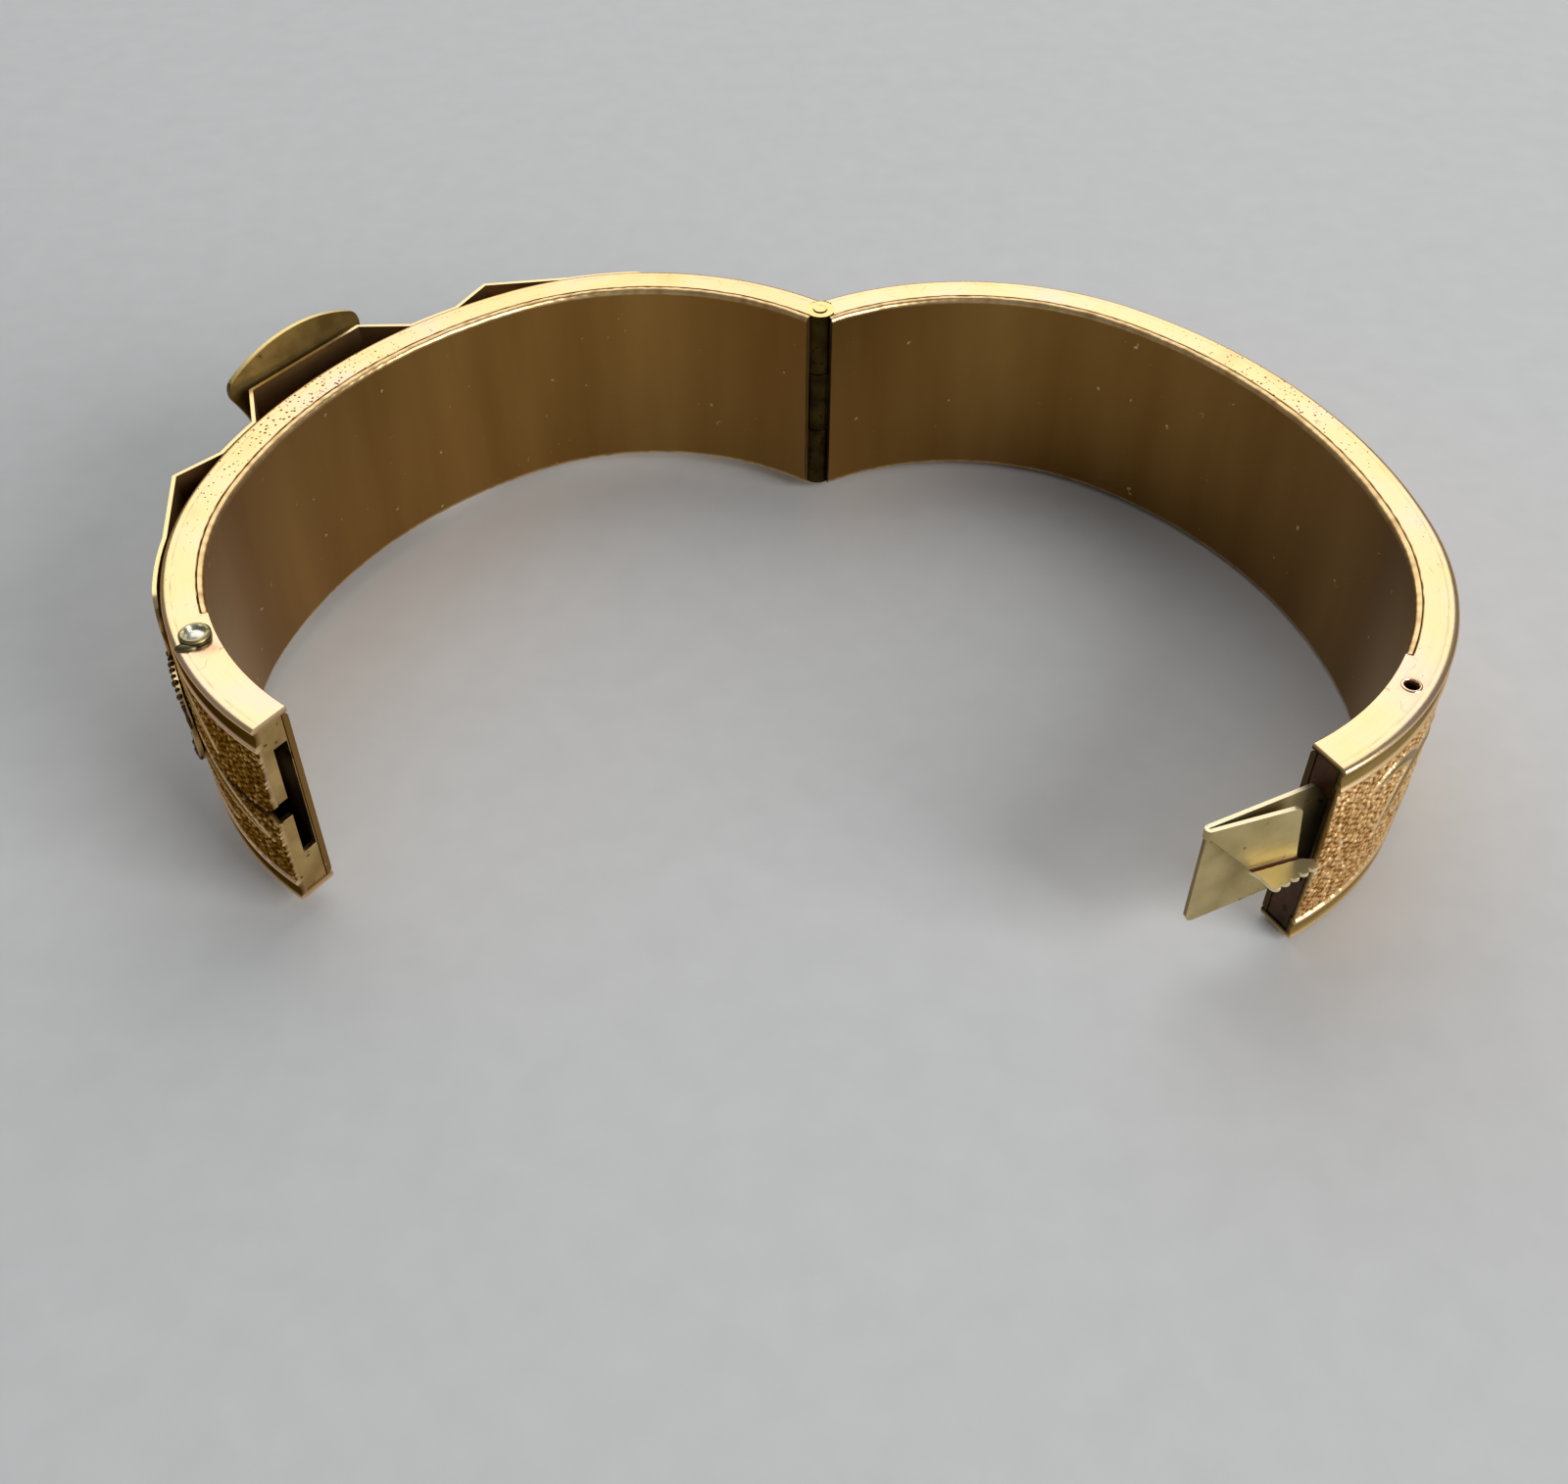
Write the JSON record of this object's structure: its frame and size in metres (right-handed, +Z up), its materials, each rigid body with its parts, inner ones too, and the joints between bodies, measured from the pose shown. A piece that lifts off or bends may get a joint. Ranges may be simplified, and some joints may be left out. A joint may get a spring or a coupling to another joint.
{
  "type": "bangle",
  "caption": "Hinged oval bangle of gilt brass, open on its side, with a folded strap ornament, an upright plaque, a chain stud and a spring tongue clasp",
  "frame": {"origin": "middle of the footprint, on the surface that the bangle lies on", "axes": "+Z up, +Y towards the hinge, +X towards the half with the spring tongue; the bangle lies open on its side"},
  "size_m": [0.093, 0.0596, 0.0206],
  "materials": {
    "gilt_outside": "polished gilt side faces with a textured, slightly tarnished outer face",
    "gilt_inside": "satin gilt, toned brown inside",
    "hinge_brass": "dark toned brass",
    "end_plate_brass": "dull brass",
    "spring_brass": "pale rolled spring brass",
    "solder_grey": "grey solder and brass",
    "strap_gilt": "gilt sheet, dark behind and bright on its edges",
    "plaque_brass": "olive toned brass with a bright edge",
    "leaf_brass": "dark toned brass relief"
  },
  "bodies": {
    "catch_half": {"catch_shell": "gilt_outside", "catch_liner": "gilt_inside", "catch_knuckles": "hinge_brass", "catch_mouth": "end_plate_brass", "hinge_pin": "hinge_brass", "chain_stud": "solder_grey", "ornament_strap": "strap_gilt", "ornament_plaque": "plaque_brass", "ornament_leaf_hinge_side": "leaf_brass", "ornament_leaf_clasp_side": "leaf_brass"},
    "tongue_half": {"tongue_shell": "gilt_outside", "tongue_liner": "gilt_inside", "tongue_knuckle": "hinge_brass", "tongue_plate": "end_plate_brass", "spring_tongue": "spring_brass"}
  },
  "joints": [
    {"name": "hinge", "type": "hinge", "parent": "catch_half", "child": "tongue_half", "pos_m": [0.00093, 0.02393, 0.00934], "axis": [0.0218, 0.0047, 0.9998], "range_deg": [-68, 0]}
  ]
}
